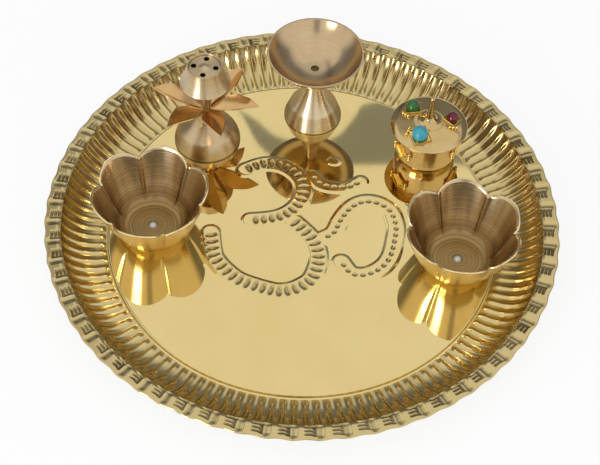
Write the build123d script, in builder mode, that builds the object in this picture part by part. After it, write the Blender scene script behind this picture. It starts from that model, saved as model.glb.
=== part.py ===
from build123d import *
import math
import os

# A brass puja thali: a fluted tray that carries two flower bowls, an oil lamp,
# a lotus incense holder and a lidded vermilion box, each riveted to its floor.
# Millimetres, +Z up. The origin is the centre of the foot ring, on the table.

# Tray, pressed from one round of sheet
TRAY_RADIUS = 140.0
SHEET = 1.0
FLOOR_RADIUS = 107.0
FOOT_DROP = 1.7
CHANNEL_WIDTH = 3.6
TRAY_DEPTH = 14.0
RIM_WIDTH = 8.6
RIM_RISE = 0.6
RIM_EDGE = 0.8
RIM_WAVE = 0.5
RIM_LOBES = 64
FLUTES = 128
FLUTE_DEPTH = 1.3
FLUTE_STEP_SHARES = (0, 0.3, 0.55, 0.8, 1)
FLUTE_SWING_SHARES = (0, 0.8, 0.8, 0.6, 0.3)

# Where the vessels stand: reach from the tray's centre and angle from +X in degrees
LEFT_BOWL_REACH = 82.5
LEFT_BOWL_ANGLE = 182
RIGHT_BOWL_REACH = 87.0
RIGHT_BOWL_ANGLE = -11
LAMP_REACH = 86.0
LAMP_ANGLE = 88
INCENSE_REACH = 85.6
INCENSE_ANGLE = 132.2
BOX_REACH = 91.5
BOX_ANGLE = 41

# Rivets: a shank, a domed head above and a clenched tail under the floor
RIVET_RADIUS = 1.5
RIVET_FIT = 0.05
RIVET_HEAD_RADIUS = 2.8
RIVET_HEAD_HEIGHT = 1.5
RIVET_TAIL_RADIUS = 2.7
RIVET_TAIL_THICKNESS = 1.0
OVERRUN = 2.0

# Flower bowls
BOWL_PETALS = 6
BOWL_HEIGHT = 32.0
BOWL_NOTCH = 5.0
BOWL_RIM_RADIUS = 32.2
BOWL_BASE_RADIUS = 16.0
BOWL_WALL = 1.2
BOWL_GROOVE = 2.6
BOWL_RISE_SHARES = (0, 0.1, 0.45, 1)
BOWL_FLARE_SHARES = (0, 0.24, 0.62, 1)
BOWL_GROOVE_SHARES = (0, 0.2, 0.8, 1)
LEFT_BOWL_TURN = 49
RIGHT_BOWL_TURN = 58

# Oil lamp: a dish on a flared pedestal
LAMP_HEIGHT = 51.6
LAMP_RIM_RADIUS = 27.4
LAMP_DEPTH = 13.2
LAMP_WALL = 1.2
LAMP_SEAT_RADIUS = 5.0
LAMP_HEAD_RADIUS = 2.4
LAMP_HEAD_HEIGHT = 0.7
PEDESTAL_FOOT_RADIUS = 16.8
PEDESTAL_FOOT_LIP = 1.2
PEDESTAL_SHOULDER_RADIUS = 13.8
PEDESTAL_SHOULDER_HEIGHT = 9.6
PEDESTAL_NECK_RADIUS = 3.9
PEDESTAL_WALL = 1.6
PEDESTAL_WAIST_REACH_SHARE = 0.3
PEDESTAL_WAIST_RISE_SHARE = 0.42

# Incense holder: bell base, lotus, and a pierced head on a stem
BELL_RADIUS = 19.0
BELL_LIP = 1.2
BELL_HEIGHT = 25.0
BELL_NECK_RADIUS = 5.0
BELL_SHOULDER_RADIUS = 15.2
BELL_SHOULDER_HEIGHT = 10.0
BELL_WALL = 1.6
BELL_WAIST_REACH_SHARE = 0.38
BELL_WAIST_RISE_SHARE = 0.4
LOTUS_PETALS = 6
LOTUS_TURN = -70
LOTUS_SHEET = 0.8
LOTUS_HUB_RADIUS = 6.0
LOTUS_REACH = 30.5
LOTUS_RISE = 9.0
LOTUS_PETAL_WIDTH = 13.0
LOTUS_CUP = 6.2
LOTUS_STEP_SHARES = (0.1, 0.32, 0.55, 0.8, 1)
LOTUS_WIDTH_SHARES = (0.3, 0.8, 1, 0.6, 0.05)
LOTUS_CUP_SHARES = (0.2, 0.8, 1, 0.6, 0.05)
LOTUS_RISE_SHARES = (0, 0.12, 0.36, 0.74, 1)
STEM_FOOT_RADIUS = 2.6
STEM_TOP_RADIUS = 3.9
HEAD_HEIGHT = 59.8
HEAD_BRIM_HEIGHT = 47.5
HEAD_BRIM_RADIUS = 14.2
HEAD_UNDERCUT = 5.0
HEAD_FLARE_REACH_SHARE = 0.36
HEAD_FLARE_RISE_SHARE = 0.5
HEAD_TOP_RADIUS = 9.9
HEAD_TOP_LIP = 1.0
HEAD_RECESS = 1.0
HEAD_BOSS_RADIUS = 2.8
STICK_HOLES = 4
STICK_HOLE_RADIUS = 1.6
STICK_HOLE_DEPTH = 9.0
STICK_PITCH_RADIUS = 6.2
STICK_TURN = -5
ROD_RADIUS = 1.5
ROD_REACH = 14.0

# Vermilion box: a round pot, its lift-off lid, and gilt settings with glass stones
POT_HEIGHT = 23.4
POT_RADIUS = 17.6
POT_BASE_RADIUS = 14.4
POT_HEEL = 4.5
POT_WALL = 1.4
LID_RADIUS = 21.8
LID_EDGE = 1.3
LID_SPIGOT = 4.0
LID_FIT = 0.3
LID_WALL = 1.4
LID_BROW_RADIUS = 8.5
LID_BROW_RISE = 2.8
SPIRE_TIP_RADIUS = 1.1
SPIRE_RISE = 20.2
SPIRE_FOOT_RADIUS = 1.9
SPIRE_FOOT_RISE = 9.3
SPIRE_SWEEP_REACH_SHARE = 0.25
SPIRE_SWEEP_RISE_SHARE = 0.3
SPIRE_KNOB_RADIUS = 1.4
STONE_REACH = 12.6
STONE_SEAT_SHARE = 0.5
SETTING_BORDER = 0.7
SETTING_GAP = 0.1
SETTING_PLATE = 0.6
SETTING_RIM = 0.8
BEAD_RADIUS = 1.1
BEAD_STEP_SHARE = 1.8
ORNAMENT_RADIUS = 3.6
ORNAMENT_HEIGHT = 13.0
# Stones: radius, angle on the lid, and which end of the setting is beaded
STONES = {"turquoise": (4.5, -116, -1), "green": (3.6, 136, 1), "red": (3.3, 8, -1)}
ORNAMENTS = {"left": -143, "right": -23, "back": 97}

FLOOR_TOP = FOOT_DROP + SHEET
RIM_TOP = FLOOR_TOP + TRAY_DEPTH


def polar(radius, angle):
    """A point at a radius and an angle in degrees."""
    return (radius * math.cos(math.radians(angle)), radius * math.sin(math.radians(angle)))


def between(start, end, share):
    """The value at a share of the way from start to end."""
    return start + (end - start) * share


def upright(place):
    """The plane of an upright profile through a vessel's axis, with Y up from the tray's floor."""
    return Plane(origin=(*place, FLOOR_TOP), x_dir=(1, 0, 0), z_dir=(0, -1, 0))


def axis_at(place):
    """A vessel's own upright axis."""
    return Axis((*place, 0), (0, 0, 1))


left_bowl_place = polar(LEFT_BOWL_REACH, LEFT_BOWL_ANGLE)
right_bowl_place = polar(RIGHT_BOWL_REACH, RIGHT_BOWL_ANGLE)
lamp_place = polar(LAMP_REACH, LAMP_ANGLE)
incense_place = polar(INCENSE_REACH, INCENSE_ANGLE)
box_place = polar(BOX_REACH, BOX_ANGLE)
places = (left_bowl_place, right_bowl_place, lamp_place, incense_place, box_place)
rivet_hole = RIVET_RADIUS + RIVET_FIT
rod_hole = ROD_RADIUS + RIVET_FIT
pieces = []


def keep(builder, label):
    """Labels a finished piece and puts it on the list of pieces."""
    builder.part.label = label
    pieces.append(builder.part)


# Tray: the cove of the wall is an arc that starts level at the channel
cove_foot = FLOOR_RADIUS + CHANNEL_WIDTH
cove_run = TRAY_RADIUS - RIM_WIDTH - cove_foot
cove_rise = RIM_TOP - RIM_RISE - SHEET
cove_radius = (cove_run**2 + cove_rise**2) / (2 * cove_rise)
cove_sweep = 2 * math.atan2(cove_rise, cove_run)


def fluted_ring(height, radius, swing, wave):
    """A level ring whose corners swing in and out by flute, with the rim's waves on top."""
    corners = 2 * FLUTES
    points = []
    for corner in range(corners):
        turn = 360 * corner / corners
        flute = swing if corner % 2 else -swing
        points.append(polar(radius + flute + wave * math.cos(math.radians(RIM_LOBES * turn)), turn))
    with BuildSketch(Plane.XY.offset(height)) as ring:
        Polygon(*points, align=None)
    return ring.sketch


def cove_rings(skin):
    """Rings up the fluted wall, a skin's thickness outside its upper face."""
    rings = []
    for step, share in zip(FLUTE_STEP_SHARES, FLUTE_SWING_SHARES):
        angle = step * cove_sweep
        radius = cove_foot + (cove_radius + skin) * math.sin(angle)
        height = SHEET + cove_radius - (cove_radius + skin) * math.cos(angle)
        rings.append(fluted_ring(height, radius, share * FLUTE_DEPTH, 0))
    return rings


edge_radius = TRAY_RADIUS - RIM_WAVE
with BuildPart() as tray:
    rim_edge = [fluted_ring(height, edge_radius, 0, RIM_WAVE) for height in (RIM_TOP - RIM_EDGE, RIM_TOP)]
    loft(cove_rings(SHEET) + rim_edge, ruled=True)
    rim_face = fluted_ring(RIM_TOP, edge_radius - RIM_EDGE, 0, RIM_WAVE)
    loft(cove_rings(0) + [rim_face], ruled=True, mode=Mode.SUBTRACT)
    with BuildSketch(Plane.XY.offset(SHEET)):
        Circle(FLOOR_RADIUS)
    extrude(amount=FOOT_DROP)
    with BuildSketch():
        Circle(FLOOR_RADIUS - SHEET)
    extrude(amount=FOOT_DROP, mode=Mode.SUBTRACT)
    with BuildSketch(Plane.XY.offset(FOOT_DROP)):
        with Locations(*places):
            Circle(rivet_hole)
    extrude(amount=SHEET, mode=Mode.SUBTRACT)
keep(tray, "tray")


def rivet(place, seat, head_radius, head_height, label):
    """A rivet from a seat above the floor to a clenched tail below it."""
    tail = -SHEET - RIVET_TAIL_THICKNESS
    with BuildPart() as fastener:
        with BuildSketch(upright(place)):
            with BuildLine():
                crown = (0, seat + head_height)
                Polyline(crown, (0, tail), (RIVET_TAIL_RADIUS - RIVET_TAIL_THICKNESS / 2, tail))
                Line((RIVET_TAIL_RADIUS - RIVET_TAIL_THICKNESS / 2, tail), (RIVET_TAIL_RADIUS, -SHEET))
                Polyline((RIVET_TAIL_RADIUS, -SHEET), (RIVET_RADIUS, -SHEET), (RIVET_RADIUS, seat))
                Line((RIVET_RADIUS, seat), (head_radius, seat))
                RadiusArc((head_radius, seat), crown, -(head_radius**2 + head_height**2) / (2 * head_height))
            make_face()
        revolve(axis=axis_at(place))
    keep(fastener, label)


# Flower bowls: lobed sections lofted to a flare, then scalloped petal by petal
petal_angle = 360 / BOWL_PETALS


def flower(place, turn, height, radius, groove):
    """A lobed section, drawn in by the groove between its petals."""
    with BuildSketch(Plane((*place, FLOOR_TOP + height))) as section:
        with BuildLine():
            for petal in range(BOWL_PETALS):
                start = turn + petal * petal_angle
                ThreePointArc(
                    polar(radius - groove, start),
                    polar(radius, start + petal_angle / 2),
                    polar(radius - groove, start + petal_angle),
                )
        make_face()
    return section.sketch


def bowl_sections(place, turn, wall):
    """The sections of a bowl's outside, or of its inside a wall's thickness further in."""
    sections = []
    for rise, flare, groove in zip(BOWL_RISE_SHARES, BOWL_FLARE_SHARES, BOWL_GROOVE_SHARES):
        height = between(wall, BOWL_HEIGHT, rise)
        radius = between(BOWL_BASE_RADIUS, BOWL_RIM_RADIUS, flare) - wall
        sections.append(flower(place, turn, height, radius, groove * BOWL_GROOVE))
    return sections


def flower_bowl(place, turn, label):
    """A thin six-petalled bowl with its rivet hole."""
    half = BOWL_RIM_RADIUS * math.sin(math.radians(petal_angle / 2))
    with BuildPart() as bowl:
        loft(bowl_sections(place, turn, 0))
        loft(bowl_sections(place, turn, BOWL_WALL), mode=Mode.SUBTRACT)
        for petal in range(BOWL_PETALS):
            angle = turn + (petal + 1 / 2) * petal_angle
            side = Plane((*place, FLOOR_TOP), x_dir=(*polar(1, angle + 90), 0), z_dir=(*polar(1, angle), 0))
            with BuildSketch(side):
                with BuildLine():
                    notch = BOWL_HEIGHT - BOWL_NOTCH
                    ThreePointArc((-half, notch), (0, BOWL_HEIGHT), (half, notch))
                    Polyline((half, notch), (half, BOWL_HEIGHT + OVERRUN), (-half, BOWL_HEIGHT + OVERRUN))
                    Line((-half, BOWL_HEIGHT + OVERRUN), (-half, notch))
                make_face()
        extrude(amount=BOWL_RIM_RADIUS + OVERRUN, mode=Mode.SUBTRACT)
        with BuildSketch(Plane((*place, FLOOR_TOP))):
            Circle(rivet_hole)
        extrude(amount=BOWL_WALL + OVERRUN, mode=Mode.SUBTRACT)
    keep(bowl, label)


flower_bowl(left_bowl_place, LEFT_BOWL_TURN, "bowl_left")
flower_bowl(right_bowl_place, RIGHT_BOWL_TURN, "bowl_right")
rivet(left_bowl_place, BOWL_WALL, RIVET_HEAD_RADIUS, RIVET_HEAD_HEIGHT, "bowl_rivet_left")
rivet(right_bowl_place, BOWL_WALL, RIVET_HEAD_RADIUS, RIVET_HEAD_HEIGHT, "bowl_rivet_right")

# Oil lamp: the pedestal is a hollow turned casting, the dish sits on its neck
dish_floor = LAMP_HEIGHT - LAMP_DEPTH
dish_seat = dish_floor - LAMP_WALL
shoulder = (PEDESTAL_SHOULDER_RADIUS, PEDESTAL_SHOULDER_HEIGHT)
hollow_top = PEDESTAL_SHOULDER_HEIGHT - PEDESTAL_WALL
with BuildPart() as lamp_pedestal:
    with BuildSketch(upright(lamp_place)):
        with BuildLine():
            neck = (PEDESTAL_NECK_RADIUS, dish_seat)
            waist = (
                between(PEDESTAL_NECK_RADIUS, PEDESTAL_SHOULDER_RADIUS, PEDESTAL_WAIST_REACH_SHARE),
                between(PEDESTAL_SHOULDER_HEIGHT, dish_seat, PEDESTAL_WAIST_RISE_SHARE),
            )
            Polyline((rod_hole, dish_seat), neck)
            ThreePointArc(neck, waist, shoulder)
            Polyline(shoulder, (PEDESTAL_FOOT_RADIUS, PEDESTAL_FOOT_LIP), (PEDESTAL_FOOT_RADIUS, 0))
            Polyline(
                (PEDESTAL_FOOT_RADIUS, 0),
                (PEDESTAL_FOOT_RADIUS - PEDESTAL_WALL, 0),
                (PEDESTAL_SHOULDER_RADIUS - PEDESTAL_WALL, hollow_top),
                (rod_hole, hollow_top),
                (rod_hole, dish_seat),
            )
        make_face()
    revolve(axis=axis_at(lamp_place))
keep(lamp_pedestal, "lamp_pedestal")


with BuildPart() as lamp_dish:
    with BuildSketch(upright(lamp_place)):
        with BuildLine():
            rim_inside = (LAMP_RIM_RADIUS - LAMP_WALL, LAMP_HEIGHT)
            rim_outside = (LAMP_RIM_RADIUS, LAMP_HEIGHT)
            Line((rod_hole, dish_floor), (LAMP_SEAT_RADIUS, dish_floor))
            TangentArc((LAMP_SEAT_RADIUS, dish_floor), rim_inside, tangent=(1, 0))
            Line(rim_inside, rim_outside)
            TangentArc((LAMP_SEAT_RADIUS, dish_seat), rim_outside, tangent=(1, 0))
            Polyline((LAMP_SEAT_RADIUS, dish_seat), (rod_hole, dish_seat), (rod_hole, dish_floor))
        make_face()
    revolve(axis=axis_at(lamp_place))
keep(lamp_dish, "lamp_dish")
rivet(lamp_place, dish_floor, LAMP_HEAD_RADIUS, LAMP_HEAD_HEIGHT, "lamp_rivet")

# Incense holder: bell base
bell_shoulder = (BELL_SHOULDER_RADIUS, BELL_SHOULDER_HEIGHT)
bell_hollow = BELL_SHOULDER_HEIGHT - BELL_WALL
with BuildPart() as incense_base:
    with BuildSketch(upright(incense_place)):
        with BuildLine():
            bell_waist = (
                between(BELL_NECK_RADIUS, BELL_SHOULDER_RADIUS, BELL_WAIST_REACH_SHARE),
                between(BELL_SHOULDER_HEIGHT, BELL_HEIGHT, BELL_WAIST_RISE_SHARE),
            )
            Line((rod_hole, BELL_HEIGHT), (BELL_NECK_RADIUS, BELL_HEIGHT))
            ThreePointArc((BELL_NECK_RADIUS, BELL_HEIGHT), bell_waist, bell_shoulder)
            RadiusArc(bell_shoulder, (BELL_RADIUS, BELL_LIP), BELL_RADIUS)
            Polyline(
                (BELL_RADIUS, BELL_LIP),
                (BELL_RADIUS, 0),
                (BELL_RADIUS - BELL_WALL, 0),
                (BELL_SHOULDER_RADIUS - BELL_WALL, bell_hollow),
                (rod_hole, bell_hollow),
                (rod_hole, BELL_HEIGHT),
            )
        make_face()
    revolve(axis=axis_at(incense_place))
keep(incense_base, "incense_base")


def petal_fold(angle, step, width_share, cup_share, rise_share):
    """The folded section across a lotus petal at a share of its reach."""
    half = LOTUS_PETAL_WIDTH * width_share / 2
    cup = LOTUS_CUP * cup_share
    out = polar(LOTUS_REACH * step, angle)
    origin = (incense_place[0] + out[0], incense_place[1] + out[1], FLOOR_TOP + BELL_HEIGHT)
    side = Plane(origin, x_dir=(*polar(1, angle + 90), 0), z_dir=(*polar(1, angle), 0))
    rise = LOTUS_RISE * rise_share
    with BuildSketch(side) as fold:
        Polygon(
            (0, rise),
            (half, rise + cup),
            (half, rise + cup + LOTUS_SHEET),
            (0, rise + LOTUS_SHEET),
            (-half, rise + cup + LOTUS_SHEET),
            (-half, rise + cup),
            align=None,
        )
    return fold.sketch


lotus_steps = list(zip(LOTUS_STEP_SHARES, LOTUS_WIDTH_SHARES, LOTUS_CUP_SHARES, LOTUS_RISE_SHARES))
with BuildPart() as incense_lotus:
    with BuildSketch(Plane((*incense_place, FLOOR_TOP + BELL_HEIGHT))):
        Circle(LOTUS_HUB_RADIUS)
    extrude(amount=LOTUS_SHEET)
    for petal in range(LOTUS_PETALS):
        petal_turn = LOTUS_TURN + 360 * petal / LOTUS_PETALS
        loft([petal_fold(petal_turn, *step) for step in lotus_steps], ruled=True)
    with BuildSketch(Plane((*incense_place, FLOOR_TOP + BELL_HEIGHT))):
        Circle(rod_hole)
    extrude(amount=LOTUS_SHEET, mode=Mode.SUBTRACT)
keep(incense_lotus, "incense_lotus")

stem_foot = BELL_HEIGHT + LOTUS_SHEET
plug_top = HEAD_HEIGHT - HEAD_RECESS
plug_seat = plug_top - STICK_HOLE_DEPTH
head_mouth = HEAD_TOP_RADIUS - HEAD_TOP_LIP
head_throat = HEAD_BRIM_HEIGHT - HEAD_UNDERCUT
head_brim = (HEAD_BRIM_RADIUS, HEAD_BRIM_HEIGHT)
with BuildPart() as incense_head:
    with BuildSketch(upright(incense_place)):
        with BuildLine():
            head_waist = (
                between(HEAD_TOP_RADIUS, HEAD_BRIM_RADIUS, HEAD_FLARE_REACH_SHARE),
                between(HEAD_BRIM_HEIGHT, HEAD_HEIGHT, HEAD_FLARE_RISE_SHARE),
            )
            Polyline((0, stem_foot), (STEM_FOOT_RADIUS, stem_foot), (STEM_TOP_RADIUS, head_throat))
            RadiusArc((STEM_TOP_RADIUS, head_throat), head_brim, HEAD_BRIM_RADIUS)
            ThreePointArc(head_brim, head_waist, (HEAD_TOP_RADIUS, HEAD_HEIGHT))
            Polyline(
                (HEAD_TOP_RADIUS, HEAD_HEIGHT),
                (head_mouth, HEAD_HEIGHT),
                (head_mouth, plug_seat),
                (0, plug_seat),
                (0, stem_foot),
            )
        make_face()
    revolve(axis=axis_at(incense_place))
    with BuildSketch(Plane((*incense_place, FLOOR_TOP + stem_foot))):
        Circle(rod_hole)
    extrude(amount=ROD_REACH + RIVET_FIT, mode=Mode.SUBTRACT)
keep(incense_head, "incense_head")

# Incense holder: the drilled plug let into the head's mouth below its lip
with BuildPart() as incense_plug:
    with BuildSketch(upright(incense_place)):
        Polygon(
            (0, plug_seat),
            (head_mouth - RIVET_FIT, plug_seat),
            (head_mouth - RIVET_FIT, plug_top),
            (HEAD_BOSS_RADIUS, plug_top),
            (0, HEAD_HEIGHT),
            align=None,
        )
    revolve(axis=axis_at(incense_place))
    with BuildSketch(Plane((*incense_place, FLOOR_TOP + plug_seat))):
        with PolarLocations(STICK_PITCH_RADIUS, STICK_HOLES, start_angle=STICK_TURN):
            Circle(STICK_HOLE_RADIUS)
    extrude(amount=STICK_HOLE_DEPTH, mode=Mode.SUBTRACT)
keep(incense_plug, "incense_plug")

with BuildPart() as incense_rod:
    with BuildSketch(Plane((*incense_place, FOOT_DROP))):
        Circle(ROD_RADIUS)
    extrude(amount=SHEET + stem_foot + ROD_REACH)
    with BuildSketch(Plane((*incense_place, FOOT_DROP))):
        Circle(RIVET_TAIL_RADIUS)
    extrude(amount=-RIVET_TAIL_THICKNESS)
keep(incense_rod, "incense_rod")

# Vermilion box: pot
pot_mouth = POT_RADIUS - POT_WALL
pot_waist = POT_HEEL + POT_WALL
with BuildPart() as pot_body:
    with BuildSketch(upright(box_place)):
        with BuildLine():
            Line((0, 0), (POT_BASE_RADIUS, 0))
            RadiusArc((POT_BASE_RADIUS, 0), (POT_RADIUS, pot_waist), 2 * POT_HEEL)
            Polyline((POT_RADIUS, pot_waist), (POT_RADIUS, POT_HEIGHT), (0, POT_HEIGHT), (0, 0))
        make_face()
    revolve(axis=axis_at(box_place))

with BuildPart() as box_pot:
    add(pot_body.part)
    with BuildSketch(upright(box_place)):
        with BuildLine():
            Line((0, POT_WALL), (POT_BASE_RADIUS - POT_WALL, POT_WALL))
            RadiusArc((POT_BASE_RADIUS - POT_WALL, POT_WALL), (pot_mouth, pot_waist), 2 * POT_HEEL)
            Polyline((pot_mouth, pot_waist), (pot_mouth, POT_HEIGHT), (0, POT_HEIGHT), (0, POT_WALL))
        make_face()
    revolve(axis=axis_at(box_place), mode=Mode.SUBTRACT)
    with BuildSketch(Plane((*box_place, FLOOR_TOP))):
        Circle(rivet_hole)
    extrude(amount=POT_WALL, mode=Mode.SUBTRACT)
keep(box_pot, "box_pot")
rivet(box_place, POT_WALL, RIVET_HEAD_RADIUS, RIVET_HEAD_HEIGHT, "box_rivet")

# Vermilion box: lid with a low brow that sweeps up into a spire
spigot_radius = pot_mouth - LID_FIT
lid_top = POT_HEIGHT + LID_EDGE
brow = (LID_BROW_RADIUS, lid_top + LID_BROW_RISE)
spire_foot = (SPIRE_FOOT_RADIUS, lid_top + SPIRE_FOOT_RISE)
spire_tip = (SPIRE_TIP_RADIUS, lid_top + SPIRE_RISE)
with BuildPart() as lid_body:
    with BuildSketch(upright(box_place)):
        with BuildLine():
            spire_sweep = (
                between(SPIRE_FOOT_RADIUS, LID_BROW_RADIUS, SPIRE_SWEEP_REACH_SHARE),
                between(brow[1], spire_foot[1], SPIRE_SWEEP_RISE_SHARE),
            )
            Polyline((0, POT_HEIGHT), (LID_RADIUS, POT_HEIGHT), (LID_RADIUS, lid_top), brow)
            ThreePointArc(brow, spire_sweep, spire_foot)
            Polyline(spire_foot, spire_tip, (0, spire_tip[1]), (0, POT_HEIGHT))
        make_face()
    revolve(axis=axis_at(box_place))
    with Locations((*box_place, FLOOR_TOP + spire_tip[1])):
        Sphere(SPIRE_KNOB_RADIUS)

with BuildPart() as box_lid:
    add(lid_body.part)
    with BuildSketch(Plane((*box_place, FLOOR_TOP + POT_HEIGHT))):
        Circle(spigot_radius)
    extrude(amount=-LID_SPIGOT)
    with BuildSketch(upright(box_place)):
        hollow_radius = spigot_radius - LID_WALL
        Polygon(
            (0, POT_HEIGHT - LID_SPIGOT),
            (hollow_radius, POT_HEIGHT - LID_SPIGOT),
            (hollow_radius, POT_HEIGHT),
            (LID_BROW_RADIUS - LID_WALL, brow[1] - LID_WALL),
            (0, brow[1] - LID_WALL),
            align=None,
        )
    revolve(axis=axis_at(box_place), mode=Mode.SUBTRACT)
keep(box_lid, "box_lid")


def diamond_setting(seat, carrier, bed, stone_radius, bead_ends, label):
    """A gilt diamond plate with a raised border and one or two beaded ends, bedded on its carrier."""
    side = 2 * (stone_radius + SETTING_GAP + SETTING_BORDER)
    corner = side / math.sqrt(2)
    border_top = SETTING_PLATE + SETTING_RIM
    bead_step = BEAD_STEP_SHARE * BEAD_RADIUS
    with BuildPart() as setting:
        with BuildSketch(seat.offset(-bed)):
            Rectangle(side, side, rotation=45)
            for end in bead_ends:
                with Locations((-bead_step, end * corner), (0, end * corner), (bead_step, end * corner)):
                    Circle(BEAD_RADIUS)
        extrude(amount=bed + border_top)
        with BuildSketch(seat.offset(border_top)):
            Rectangle(side - 2 * SETTING_BORDER, side - 2 * SETTING_BORDER, rotation=45)
        extrude(amount=-SETTING_RIM, mode=Mode.SUBTRACT)
        add(carrier, mode=Mode.SUBTRACT)
    keep(setting, label)


brow_slope = math.atan2(brow[1] - lid_top, LID_RADIUS - LID_BROW_RADIUS)
stone_height = between(brow[1], lid_top, (STONE_REACH - LID_BROW_RADIUS) / (LID_RADIUS - LID_BROW_RADIUS))
for colour, (stone_radius, stone_angle, bead_end) in STONES.items():
    stone_out = polar(STONE_REACH, stone_angle)
    stone_seat = Plane(
        origin=(box_place[0] + stone_out[0], box_place[1] + stone_out[1], FLOOR_TOP + stone_height),
        x_dir=(*polar(math.cos(brow_slope), stone_angle), -math.sin(brow_slope)),
        z_dir=(*polar(math.sin(brow_slope), stone_angle), math.cos(brow_slope)),
    )
    diamond_setting(stone_seat, lid_body.part, LID_EDGE / 2, stone_radius, [bead_end], f"setting_{colour}")
    with BuildPart() as stone:
        with Locations(stone_seat.offset(SETTING_PLATE + STONE_SEAT_SHARE * stone_radius)):
            Sphere(stone_radius)
        split(bisect_by=stone_seat.offset(SETTING_PLATE), keep=Keep.TOP)
    keep(stone, f"stone_{colour}")

for side_name, ornament_angle in ORNAMENTS.items():
    ornament_out = polar(POT_RADIUS, ornament_angle)
    ornament_seat = Plane(
        origin=(box_place[0] + ornament_out[0], box_place[1] + ornament_out[1], FLOOR_TOP + ORNAMENT_HEIGHT),
        x_dir=(0, 0, -1),
        z_dir=(*polar(1, ornament_angle), 0),
    )
    diamond_setting(
        ornament_seat, pot_body.part, POT_WALL, ORNAMENT_RADIUS, [1, -1], f"pot_ornament_{side_name}"
    )

os.makedirs("parts", exist_ok=True)
for piece in pieces:
    export_step(piece, f"parts/{piece.label}.step")
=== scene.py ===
import math
import bmesh
import bpy
from mathutils import Matrix, Vector


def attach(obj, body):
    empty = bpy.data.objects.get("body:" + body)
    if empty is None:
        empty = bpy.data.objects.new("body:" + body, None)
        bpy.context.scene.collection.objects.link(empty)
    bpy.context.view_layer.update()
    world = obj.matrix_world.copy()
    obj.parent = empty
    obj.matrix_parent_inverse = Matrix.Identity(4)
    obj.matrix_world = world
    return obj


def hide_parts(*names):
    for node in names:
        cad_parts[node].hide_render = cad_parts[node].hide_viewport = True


# A brass puja thali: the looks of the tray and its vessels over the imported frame.
# Sizes are in millimetres, heights of vessels are above the tray's floor.
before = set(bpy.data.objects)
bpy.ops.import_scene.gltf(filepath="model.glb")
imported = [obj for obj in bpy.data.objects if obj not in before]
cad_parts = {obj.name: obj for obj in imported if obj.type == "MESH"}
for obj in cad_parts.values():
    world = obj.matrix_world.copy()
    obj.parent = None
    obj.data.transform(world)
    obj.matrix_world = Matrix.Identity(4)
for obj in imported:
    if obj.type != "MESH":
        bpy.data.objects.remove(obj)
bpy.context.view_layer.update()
scene = bpy.context.scene

MM = 0.001
FULL_TURN = 2 * math.pi
FLOOR_TOP = 2.7
# How high grime and painted contact shade reach on vessels that stand on the tray
GRIME_AND_SHADE_HEIGHT = 0.9
# Each vessel's distance from the tray's middle and its direction in degrees
PLACES = {"left": (82.5, 182), "right": (87.0, -11), "lamp": (86.0, 88), "incense": (85.6, 132.2),
          "box": (91.5, 41)}

# The kinds of node that come most often. A mix has its share at input 0, two numbers at 2 and 3 and two
# colours at 6 and 7. A range has its value at 0, its start and end at 1 and 2, what they become at 3 and 4.
MATH = "ShaderNodeMath"
MIX = "ShaderNodeMix"
RANGE = "ShaderNodeMapRange"
NOISE = "ShaderNodeTexNoise"
BUMP = "ShaderNodeBump"
STORE = "GeometryNodeStoreNamedAttribute"
# The start and end that noise seldom passes
NOISE_SPAN = {1: 0.3, 2: 0.7}


def polar(reach, angle):
    """A point at a reach and an angle in degrees."""
    return reach * math.cos(math.radians(angle)), reach * math.sin(math.radians(angle))


def linear(code):
    """A hex sRGB colour as linear RGBA."""
    channels = [int(code[i:i + 2], 16) / 255 for i in (1, 3, 5)]
    return (*[c / 12.92 if c <= 0.04045 else ((c + 0.055) / 1.055) ** 2.4 for c in channels], 1)


def fill(node, inputs):
    """Links nodes and sockets into a node's inputs, and sets any other value on the input itself."""
    for name, value in dict(inputs).items():
        if isinstance(value, bpy.types.Node):
            value = next(out for out in value.outputs if out.enabled)
        if isinstance(value, bpy.types.NodeSocket):
            node.id_data.links.new(value, node.inputs[name])
        else:
            node.inputs[name].default_value = value


def add(tree, kind, inputs=(), **settings):
    """Adds a node with its settings, links and values."""
    node = tree.nodes.new(kind)
    for name, setting in settings.items():
        setattr(node, name, setting)
    fill(node, inputs)
    return node


def new_look(name, *labels):
    """A new material with its tree, shader, place of a point, and what the mesh holds there by labels."""
    look = bpy.data.materials.new(name)
    look.use_nodes = True
    tree = look.node_tree
    spot = add(tree, "ShaderNodeTexCoord").outputs["Object"]
    held = [add(tree, "ShaderNodeAttribute", attribute_name=label).outputs["Fac"] for label in labels]
    return look, tree, tree.nodes["Principled BSDF"], spot, *held


# Sheet brass, pressed and mirror polished: a pale yellow mirror with a faint sway and hairline scratches,
# with painted shade in the flute valleys and on the rim, and dark tarnish mixed with painted shade in the
# punched marks and dents
sheet_brass, tree, shader, spot, recess, patina = new_look("polished_sheet_brass", "recess", "patina")
cloud = add(tree, NOISE, {"Vector": spot, "Scale": 35, "Detail": 3})
bright = add(tree, MIX, {0: cloud, 6: linear("#D8BF7C"), 7: linear("#E0CB92")}, data_type="RGBA")
# The flute valleys and the rim are darkened towards #716A5C: painted shade
tone = add(tree, MIX, {0: patina, 6: bright, 7: linear("#716A5C")}, data_type="RGBA")
drawn = add(tree, "ShaderNodeMapping", {"Vector": spot, "Scale": (260, 2600, 1), "Rotation": (0, 0, 0.5)})
hairline = add(tree, NOISE, {"Vector": drawn, "Scale": 1, "Detail": 2})
dirt = add(tree, NOISE, {"Vector": spot, "Scale": 700, "Detail": 4})
dirt_share = add(tree, RANGE, {0: dirt, 1: 0.25, 2: 0.75, 3: 0.7, 4: 1.0})
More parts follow.
